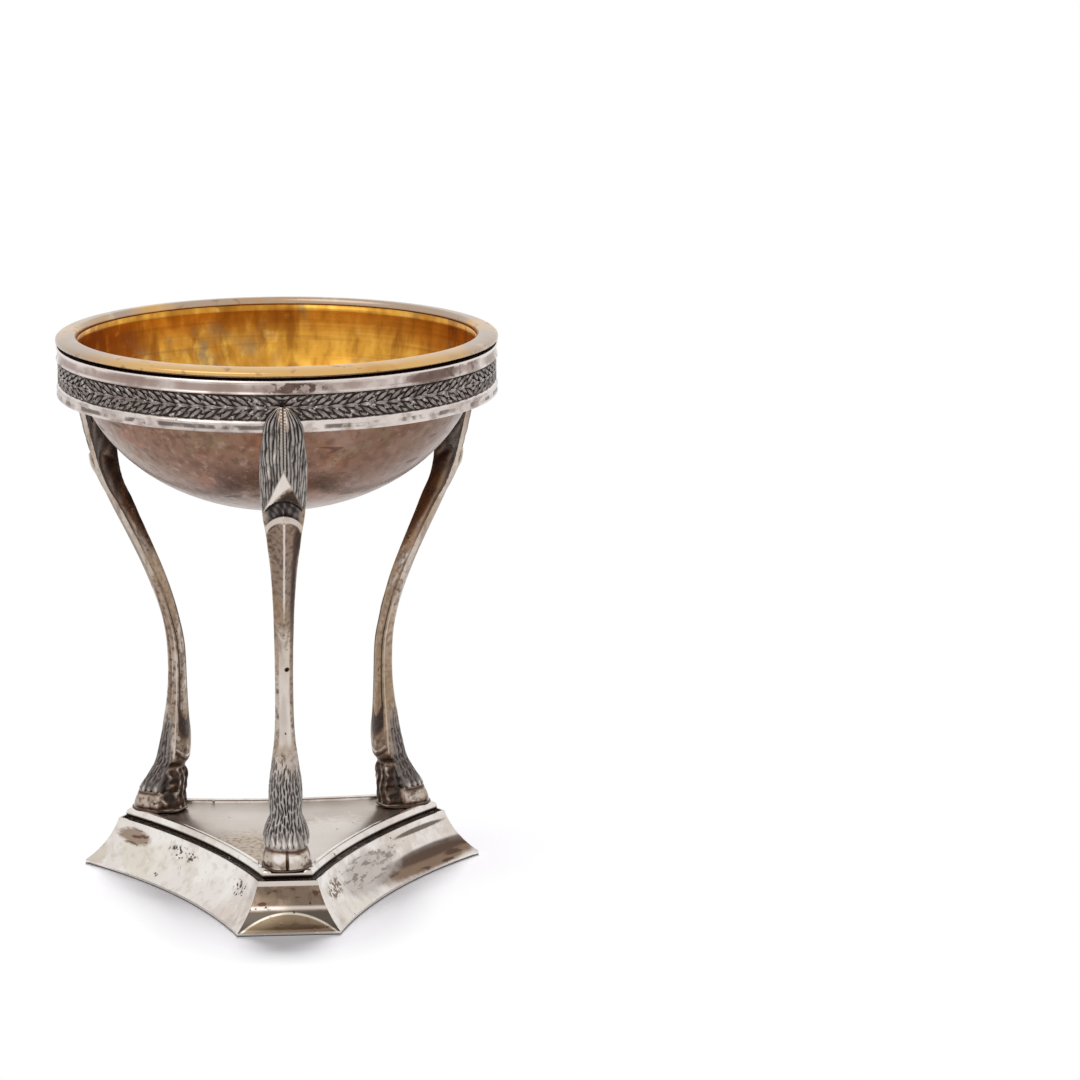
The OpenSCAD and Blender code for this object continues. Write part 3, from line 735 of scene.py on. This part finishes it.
# %% Leaf and berry
strip_low, strip_high = (Vector(corner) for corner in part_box("laurel_frieze"))
strip_r = strip_high.x
strip_middle = (strip_low.z + strip_high.z) / 2
strip_h = strip_high.z - strip_low.z
SPRIGS = 90
pitch = 2 * math.pi * strip_r / SPRIGS
LEAF_HEIGHT = 0.42 * MM
GROUND_DIP = 0.09 * MM
LEAF_TURN = 34
CREASE = math.radians(50)


def select_only(thing):
    bpy.ops.object.select_all(action="DESELECT")
    thing.select_set(True)
    bpy.context.view_layer.objects.active = thing


def weld(piece):
    """Joins points that lie together, and stays in edit mode with all selected."""
    select_only(piece)
    bpy.ops.object.mode_set(mode="EDIT")
    bpy.ops.mesh.select_all(action="SELECT")
    bpy.ops.mesh.remove_doubles(threshold=WELD)


def blob(size, segments, rings):
    """A ball with its poles along X, squashed to size and centred on the strip's face."""
    bpy.ops.object.select_all(action="DESELECT")
    bpy.ops.mesh.primitive_uv_sphere_add(segments=segments, ring_count=rings, radius=0.5,
                                         rotation=(0, math.pi / 2, 0))
    made = bpy.context.object
    bpy.ops.object.transform_apply(location=False, rotation=True, scale=False)
    made.scale = size
    bpy.ops.object.transform_apply(location=False, rotation=False, scale=True)
    return made


def put(made, along, up, turn=0.0):
    """Turns a piece in the face of the strip and puts it there, at the front."""
    made.rotation_euler = (0, -turn, 0)
    made.location = (along, GROUND_DIP - strip_r, strip_middle + up)
    bpy.ops.object.transform_apply(location=True, rotation=True, scale=False)
    return made


def leaf(length, width, along, up, turn):
    made = blob((length, 2 * LEAF_HEIGHT, width), 10, 9)
    for point in made.data.vertices:
        share = min(max(point.co.x / length + 0.5, 0), 1)
        point.co.z *= 1.25 * (1 - share) ** 0.45 if share > 0.4 else 0.55 + 1.1 * share
        if abs(point.co.z) < width * 0.08:
            point.co.y *= 0.6
    return put(made, along, up, turn)


def berry(radius, along, up):
    return put(blob((2 * radius, 2 * radius, 2 * radius), 8, 6), along, up)


# The leaves on either side of the middle one: length, width, place along and up, share of the turn
LEAVES = ((1.12, 0.2, 0.1, 0.3, 1), (0.8, 0.16, 0.34, 0.14, 0.8), (0.62, 0.15, -0.26, 0.42, 0.5))


def sprig(side):
    """Seven leaves and four berries that point to +X for side 1 and to -X for side -1."""
    turn = math.radians(LEAF_TURN)
    parts = [leaf(1.15 * pitch, 0.2 * strip_h, 0.0, 0, 0)]
    for up in (1, -1):
        for length, width, along, out, share in LEAVES:
            place = (along * pitch, up * out * strip_h, up * share * turn)
            parts.append(leaf(length * pitch, width * strip_h, *place))
        parts.append(berry(0.055 * strip_h, -0.36 * pitch, up * 0.25 * strip_h))
        parts.append(berry(0.045 * strip_h, 0.52 * pitch, up * 0.33 * strip_h))
    for part in parts:
        part.select_set(True)
    bpy.context.view_layer.objects.active = parts[0]
    bpy.ops.object.join()
    made = bpy.context.object
    if side < 0:
        made.data.transform(Matrix.Scale(-1, 4, (1, 0, 0)))
        made.data.flip_normals()
    return made


def copy_turned(source, name, degrees):
    made = bpy.data.objects.new(name, source.data.copy())
    made.data.transform(Matrix.Rotation(math.radians(degrees), 4, "Z"))
    to_scene(made)
    return made


print("sprig pitch:", round(pitch / MM, 2), "mm")

# %% Laurel strip
step = 360 / SPRIGS
half_count = SPRIGS // LEGS // 2
sources = {1: sprig(1), -1: sprig(-1)}
sprigs = []
for leg_number in range(LEGS):
    for side, source in sources.items():
        for number in range(half_count):
            turn = leg_number * ARC + side * (number + 0.5) * step
            sprigs.append(copy_turned(source, "sprig", turn))
strip = bpy.data.objects.new("laurel_strip", nodes["laurel_frieze"].data.copy())
to_scene(strip)
select_only(strip)
for piece in sprigs:
    piece.select_set(True)
bpy.ops.object.join()
for source in sources.values():
    bpy.data.objects.remove(source)
weld(strip)
bpy.ops.object.mode_set(mode="OBJECT")
bpy.ops.object.shade_smooth_by_angle(angle=CREASE)
strip.data.materials.clear()
strip.data.materials.append(finishes["laurel"])


def write_shares(piece, name, values):
    store = piece.data.attributes.new(name, "FLOAT", "POINT")
    store.data.foreach_set("value", np.clip(values, 0, 1).astype(np.float32))


def read_points(piece, what="co"):
    flat = np.empty(len(piece.data.vertices) * 3)
    piece.data.vertices.foreach_get(what, flat)
    return flat.reshape(-1, 3)


points = read_points(strip)
radius = np.hypot(points[:, 0], points[:, 1])
write_shares(strip, "wear_and_shading", 0.86 * (radius - (strip_r - GROUND_DIP)) / LEAF_HEIGHT)
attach(strip, "stand")
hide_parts("laurel_frieze")
print("laurel strip:", len(strip.data.polygons), "faces")

# %% [markdown]
# The legs are castings, chased by hand afterwards. Each starts as a copy of the frame's leg,
# which has the right outline in broad facets. The facets are merged to quads and subdivided
# to a skin of fine quads that follow the leg, and the hair is then carved by moving points
# along their normals. One leg is carved, and the other two are turned copies of it.

# %% Smooth skin for a leg
SKIN_LEVELS = 3
MERGE_TURN = math.radians(160)


def leg_skin():
    made = bpy.data.objects.new("leg_carved_front", nodes["leg_front"].data.copy())
    to_scene(made)
    weld(made)
    bpy.ops.mesh.tris_convert_to_quads(face_threshold=MERGE_TURN, shape_threshold=MERGE_TURN)
    bpy.ops.object.mode_set(mode="OBJECT")
    skin = made.modifiers.new("skin", "SUBSURF")
    skin.levels = SKIN_LEVELS
    skin.render_levels = SKIN_LEVELS
    bpy.ops.object.modifier_apply(modifier="skin")
    for face in made.data.polygons:
        face.use_smooth = True
    made.data.materials.clear()
    made.data.materials.append(finishes["leg"])
    return made


leg = leg_skin()
print("leg skin:", len(leg.data.polygons), "faces")

# %% [markdown]
# To carve, each point needs to know where it lies on the leg: its height, and its turn round
# the leg, from 0 on the front ridge to 1 at the side edges and 2 at the back. Both come from
# the leg's own width and depth at that height.

# %% Places on the leg
def smooth(value, low, high):
    share = np.clip((value - low) / (high - low), 0, 1)
    return share * share * (3 - 2 * share)


# How far apart the leg is measured, and how far round each level, in millimetres
LEVEL_STEP = 0.4
LEVEL_REACH = 0.45


def places(piece):
    """For each point its height and place across in millimetres, its share of the half width
    there, its turn, and its share of the way from the back to the ridge."""
    spots = read_points(piece) / MM
    out, across, height = -spots[:, 1], spots[:, 0], spots[:, 2]
    levels = np.arange(height.min(), height.max(), LEVEL_STEP)
    half, back, ridge = [], [], []
    for level in levels:
        near = np.abs(height - level) < LEVEL_REACH
        half.append(np.abs(across[near]).max())
        back.append(out[near].min())
        ridge.append(out[near].max())
    half = np.interp(height, levels, half)
    back = np.interp(height, levels, back)
    ridge = np.interp(height, levels, ridge)
    middle = back + 0.42 * (ridge - back)
    turn = np.arctan2(across / half, (out - middle) / (ridge - middle)) / (np.pi / 2)
    return height, across, np.abs(across) / half, turn, (out - back) / (ridge - back)


def random_share(number, seed):
    """A fixed random share for each whole number."""
    wave = np.sin(number * 12.9898 + seed * 78.233) * 43758.5453
    return wave - np.floor(wave)


def strands(turn, height, count, length, seed, wave):
    """Relief of hair: count strands over the front half, in locks of that length.
    Returns 0 in the grooves and up to 1 on the strands."""
    sway = wave * np.sin(height * 0.9 + seed) + wave * 0.6 * np.sin(height * 2.3 + turn * 4 + seed)
    place = turn * count / 2 + sway
    number = np.floor(place)
    share = place - number
    round_top = 1 - (2 * share - 1) ** 2
    lock = height / length + random_share(number, seed)
    fall = lock - np.floor(lock)
    weight = 0.65 + 0.35 * smooth(fall, 0.0, 0.25) * (1 - 0.5 * smooth(fall, 0.6, 1.0))
    return round_top ** 0.7 * weight


leg_heights = read_points(leg)[:, 2] / MM
print("leg from", round(leg_heights.min(), 1), "to", round(leg_heights.max(), 1), "mm up")

# %% [markdown]
# The carving follows the real leg from the top: long hair on the cuff, a smooth pointed facet
# in its middle, a deep hollow under it, an arched lip, then the plain shank with its bright
# ridge, then short hair that ends in a fringe of locks over the cloven hoof.

# %% Carve the leg
# Heights, widths and depths in millimetres, from the lip down to the pad
LIP = 68.0
LIP_SAG = 2.4
LIP_WIDE = 1.0
FACET_TOP = 75.4
FACET_LOW = 70.6
FACET_HALF = 2.2
TIP = 84.0
RIDGE_END = 44.0
TENDON_TOP = 42.0
HAIR_TOP = 25.5
HAIR_RISE = 2.0
NOTCH = 17.2
TONGUE_END = 24.2
BULB_RIM = 18.5
FRINGE = 12.3
PAD_TOP = 9.15
CUFF_DEPTH = 0.32
HAIR_DEPTH = 0.22
FRINGE_DEPTH = 0.26
HOLLOW_DEPTH = 0.45
LIP_DEPTH = 0.2
HOOF_SWELL = 0.2


class Carving:
    """What is done to each point: its depth, its wear with painted shade and highlights, its share of
    hair and how far it drops.
    """

    def __init__(self, count):
        self.depth = np.zeros(count)
        self.wear_and_shading = np.full(count, 0.55)
        self.hair = np.zeros(count)
        self.drop = np.zeros(count)

    def cover(self, mask, value):
        """Gives wear and painted shading that value where mask is 1."""
        self.wear_and_shading = self.wear_and_shading * (1 - mask) + mask * value

    def shine(self, value):
        self.wear_and_shading = np.maximum(self.wear_and_shading, value)


def bump_at(value, middle, width):
    """1 at the middle, fading to 0 at about twice the width from it."""
    return np.exp(-((value - middle) / width) ** 2)


def dashes(turn, height, count, length, seed, kept):
    """Short grooves in staggered columns, each with its own lean. Only the kept share is cut."""
    sway = 0.2 * np.sin(height * 0.8 + seed) + 0.1 * np.sin(height * 2.1 + turn * 5)
    column = turn * count / 2 + sway
    number = np.floor(column)
    lock = height / length + random_share(number, seed)
    cell = number * 3 + np.floor(lock) * 7
    fall = lock - np.floor(lock)
    lean = random_share(cell, seed + 5) - 0.5
    aside = column - number - 0.5 - 0.9 * lean * (fall - 0.5)
    groove = bump_at(aside, 0, 0.24) * np.sin(np.pi * fall) ** 0.5
    return groove * (random_share(cell, seed) < kept)


def carve_cuff(place, carving):
    """Long hair round a beaded middle, and a smooth pointed facet under it."""
    height, across, share, turn, front, lip_line = place
    half = FACET_HALF * (FACET_TOP - height) / (FACET_TOP - FACET_LOW)
    facet = smooth(half - np.abs(across), -0.12, 0.18) * smooth(lip_line, FACET_LOW - 0.2, FACET_LOW)
    cuff = smooth(lip_line, FACET_LOW - 0.5, FACET_LOW) * (1 - facet) * front
    edge = smooth(share, 0.91, 0.96)
    bent = turn + 0.02 * np.sin(turn * 9 + 1) + 0.015 * np.sin(turn * 23 + height * 0.6)
    hair = strands(bent, height, 19, 2.6, 1.0, 0.1)
    middle = smooth(np.abs(across), 0.5, 0.3)
    beads = 0.7 + 0.3 * np.sin(height * 13 + np.sign(across) * 1.5)
    cord = (1 - bump_at(across, 0, 0.09)) * beads
    hair = hair * (1 - middle) + middle * cord
    ragged = 0.5 + 0.5 * np.sin(height * 2.1 + 2 * np.sin(height * 0.9))
    carving.depth += cuff * CUFF_DEPTH * ((hair - 0.7) * (1 - edge) + edge * 0.5 * (ragged - 0.5))
    carving.depth += facet * 0.06
    strong = 0.75 + 0.25 * np.sin(turn * 13 + 2) * np.sin(height * 0.8 + turn * 5)
    broken = 1 - 0.7 * dashes(bent, height, 26, 2.2, 4.0, 0.55)
    carving.cover(cuff, 0.02 + 0.95 * strong * broken * hair ** 1.5)
    carving.shine(cuff * edge * 0.35 * ragged)
    tip = smooth(height + 3 * smooth(np.abs(across), 1.2, 0.4), TIP, TIP + 2)
    carving.shine(cuff * tip * (0.35 + 0.65 * hair))
    carving.shine(cuff * middle * (0.25 + 0.65 * cord))
    carving.hair = np.maximum(carving.hair, cuff * (1 - 0.75 * tip))
    # Painted shade on the facet: darker towards its lower right
    shade = smooth(lip_line - 0.8 * across, FACET_LOW + 1.7, FACET_LOW + 0.5)
    carving.cover(facet, 0.95 - 0.82 * shade)


def carve_lip(place, carving, deep):
    """A dark hollow over the bright arched lip that begins the shank."""
    height, across, share, _, front, lip_line = place
    hollow = smooth(lip_line, LIP + 0.2, LIP + 0.5)
    hollow *= 1 - smooth(lip_line, FACET_LOW - 0.7, FACET_LOW)
    hollow *= np.maximum(front, smooth(deep, 0.25, 0.6))
    carving.depth -= HOLLOW_DEPTH * hollow * (1 - 0.5 * smooth(share, 0.86, 0.97))
    carving.cover(hollow, 0.16 + 0.14 * np.sin(across * 5 + height * 2) * np.sin(height * 4))
    carving.hair = np.maximum(carving.hair, hollow)
    lip = smooth(lip_line, LIP - LIP_WIDE - 0.2, LIP - LIP_WIDE + 0.1)
    lip *= (1 - smooth(lip_line, LIP, LIP + 0.25)) * front
    roll = np.sin(np.pi * np.clip((LIP + 0.25 - lip_line) / (LIP_WIDE + 0.45), 0, 1))
    carving.depth += LIP_DEPTH * lip * roll * (1 - smooth(share, 0.7, 0.95))
    carving.shine(0.86 * lip)


def carve_shank(place, carving):
    """Brown flanks with a bright ridge and bright edges, and painted shade on the flank of one side.
    The ridge fades to a plain round face.
    """
    height, across, share, turn, front, lip_line = place
    shank = smooth(height, HAIR_TOP, HAIR_TOP + 3)
    shank *= (1 - smooth(lip_line, LIP - LIP_WIDE - 0.3, LIP - LIP_WIDE)) * front
    keeled = smooth(height, RIDGE_END - 2, RIDGE_END + 10)
    ridge = bump_at(across, 0, 0.26) * keeled
    round_face = (1 - keeled) * (1 - smooth(share, 0.5, 0.85))
    carving.depth -= shank * keeled * 0.1 * np.sin(np.pi * np.clip(share, 0, 1)) ** 2
    # The last term is painted shade, darkening the flank towards its edge on one side
    flank = 0.55 - 0.17 * keeled - 0.24 * smooth(turn, 0.5, 0.85)
    carving.cover(shank, np.maximum(flank, np.maximum(0.95 * ridge, 0.88 * round_face)))


def carve_hair(place, carving):
    """Short crossed strokes that end in a fringe of locks over the hoof."""
    height, _, share, turn, _, _ = place
    start = HAIR_TOP + HAIR_RISE * np.minimum(share, 1) ** 2
    hair = (1 - smooth(height, start - 1.2, start + 0.6)) * smooth(height, FRINGE - 0.3, FRINGE)
    side_end = 1.02 + 0.25 * (1 - smooth(height, NOTCH - 3, NOTCH))
    hair *= 1 - smooth(np.abs(turn) - side_end, 0, 0.12)
    kept = 1.1 - 0.85 * smooth(height, start - 5.5, start)
    long_cuts = dashes(turn, height, 15, 1.5, 3.0, kept)
    short_cuts = dashes(turn, height, 22, 1.1, 8.0, 0.6 * kept)
    short = 1 - np.maximum(long_cuts, short_cuts)
    locks = strands(turn, height, 11, 6.0, 7.0, 0.05)
    fringe = 1 - smooth(height, FRINGE + 1.0, FRINGE + 2.4)
    relief = short * (1 - fringe) + fringe * (0.35 * short + 0.65 * locks)
    carving.depth += hair * (relief - 0.65) * (HAIR_DEPTH + fringe * (FRINGE_DEPTH - HAIR_DEPTH))
    tips = fringe * bump_at(height, FRINGE + 0.5, 0.5) * locks
    bare = 0.12 * smooth(height, start - 4, start)
    carving.cover(hair, 0.04 + (0.6 + bare) * relief ** 1.2 + 0.3 * tips)
    carving.hair = np.maximum(carving.hair, hair * (1 - 0.8 * smooth(height, start - 6, start)))
    carving.drop += hair * bump_at(height, FRINGE, 0.4) * (locks - 0.6) * 0.5


def carve_back(place, carving, deep, facing):
    """The back of the shank: flat at the top, and darkened there with painted shade that deepens
    towards the ring. Lower down a worn tendon runs between two bright rails. It ends in a round tip
    over a dark dip, which the bright rim of the fetlock closes. Folds of the heel lie under it."""
    height, across, share, turn, _, _ = place
    around = np.abs(turn)
    above = smooth(height, TENDON_TOP, TENDON_TOP + 8)
    behind = smooth(around, 1.02, 1.14) * (1 - above) + smooth(facing, 0.1, 0.35) * above
    behind *= smooth(height, FRINGE - 3, FRINGE - 2.6)
    off = (2 - around) / 0.65
    mottle = 0.1 * np.sin(height * 1.3 + across * 2) * np.sin(height * 0.6 + 2)
    # Painted shade: the back darkens towards the ring, and at its sides higher up
    dark = smooth(height, 50, 68) + 0.4 * above * smooth(share, 0.5, 0.8)
    carving.cover(behind, 0.52 + mottle - 0.34 * np.clip(dark, 0, 1))
    line = bump_at(around, 1.45, 0.07) * smooth(height, TONGUE_END, TONGUE_END + 4) * (1 - above)
    carving.depth -= 0.1 * line
    carving.cover(behind * line, 0.12)
    dip = smooth(height, BULB_RIM + 1 + 2 * off ** 2, BULB_RIM + 3.4 + 2 * off ** 2)
    dip *= 1 - smooth(height, TONGUE_END + 3 * off ** 2, TONGUE_END + 0.7 + 3 * off ** 2)
    dip *= smooth(around, 1.32, 1.42)
    carving.depth -= 0.14 * dip
    carving.cover(dip, 0.14)
    rims = smooth(height, BULB_RIM - 1, BULB_RIM) * (1 - smooth(height, 80, 84))
    carving.shine(0.86 * bump_at(around, 1.24, 0.07) * rims * (1 - above))
    carving.shine(0.62 * bump_at(around, 0.96, 0.07) * rims * (1 - above))
    side = smooth(share, 0.72, 0.86) * (1 - smooth(np.abs(facing), 0.25, 0.5)) * above
    carving.shine(0.74 * side * rims)
    bulb = smooth(around, 1.25, 1.4) * smooth(height, NOTCH, NOTCH + 0.3)
    bulb *= 1 - smooth(height, BULB_RIM + 1.5, BULB_RIM + 3)
    mottle = np.sin(height * 2.3 + across * 1.9) * np.sin(across * 3.1 - height * 1.2)
    carving.cover(bulb, 0.44 + 0.12 * mottle)
    bulb_rim = BULB_RIM + 1.2 * off ** 2
    round_back = smooth(around, 1.2, 1.35)
    carving.shine(0.92 * bump_at(height, bulb_rim - 0.1, 0.3) * round_back)
    carving.cover(bump_at(height, bulb_rim - 0.8, 0.25) * round_back, 0.12)
    notch = bump_at(height, NOTCH - 0.3, 0.55) * behind
    carving.depth -= 0.18 * notch
    carving.cover(notch, 0.02)
    heel = (1 - smooth(height, NOTCH - 1.3, NOTCH - 0.8)) * smooth(height, PAD_TOP, PAD_TOP + 0.2)
    heel *= 1 - smooth(deep, 0.26, 0.34)
    lumps = 0.5 + 0.5 * np.sin(height * 2.9 + across * 3.3) * np.sin(height * 1.4 - across * 2.3)
    folds = 0.5 + 0.5 * np.cos(across * 4.4 + 1.3 * np.sin(height * 1.3 + 2) + 1.5 * lumps)
    carving.depth += heel * (0.12 * (folds - 0.5) + 0.16 * (lumps - 0.5))
    carving.cover(heel, 0.03 + 0.16 * lumps + 0.75 * folds ** 6 * lumps)


def carve_hoof(place, carving):
    """Two smooth toes, bright over and brown at the foot, on a pad darkened by painted shade. The
    toes carry a painted highlight by the cleft that fades to the sides, and a painted shadow lies
    under the fringe.
    """
    height, across, share, turn, front, _ = place
    hoof = 1 - smooth(height, FRINGE - 0.5, FRINGE - 0.1)
    cleft = bump_at(across, 0, 0.22) * front
    low = 1 - smooth(height, PAD_TOP + 0.2, PAD_TOP + 1.4)
    mottle = np.sin(turn * 11 + 2) * np.sin(height * 3 + turn * 7)
    # Painted highlight on the toes by the cleft, darker towards the sides
    toes = 0.98 - 0.32 * smooth(share, 0.4, 0.85) + 0.12 * mottle
    carving.cover(hoof, toes - 0.8 * cleft - 0.36 * low)
    round_side = np.sin(np.pi * np.clip((height - PAD_TOP) / (FRINGE - PAD_TOP), 0, 1))
    carving.depth += HOOF_SWELL * hoof * round_side * smooth(share, 0.45, 0.8)
    # Painted shadow under the fringe
    under = smooth(height, FRINGE - 1.1 - 0.3 * np.sin(turn * 5), FRINGE - 0.5) * hoof
    carving.cover(under, 0.14)
    # Painted shade on the pad
    carving.cover(1 - smooth(height, PAD_TOP - 0.05, PAD_TOP + 0.05), 0.2)


def carve(piece):
    height, across, share, turn, deep = places(piece)
    front = 1 - smooth(np.abs(turn), 0.95, 1.1)
    place = (height, across, share, turn, front, height + LIP_SAG * share ** 2)
    carving = Carving(len(height))
    carve_cuff(place, carving)
    carve_lip(place, carving, deep)
    carve_shank(place, carving)
    carve_hair(place, carving)
    carve_hoof(place, carving)
    normals = read_points(piece, "normal")
    carve_back(place, carving, deep, normals[:, 1])
    moved = read_points(piece) + normals * (carving.depth * MM)[:, None]
    moved[:, 2] -= carving.drop * MM
    piece.data.vertices.foreach_set("co", moved.ravel())
    piece.data.update()
    write_shares(piece, "wear_and_shading", carving.wear_and_shading)
    write_shares(piece, "hair", carving.hair)
    return carving.depth


depth = carve(leg)
print("carved from", round(depth.min(), 2), "to", round(depth.max(), 2), "mm")

# %% Copy the leg round the stand
for number, place in enumerate(PLACES):
    piece = leg if number == 0 else copy_turned(leg, f"leg_carved_{place}", number * ARC)
    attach(piece, "stand")
    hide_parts(f"leg_{place}")
print("legs:", LEGS)
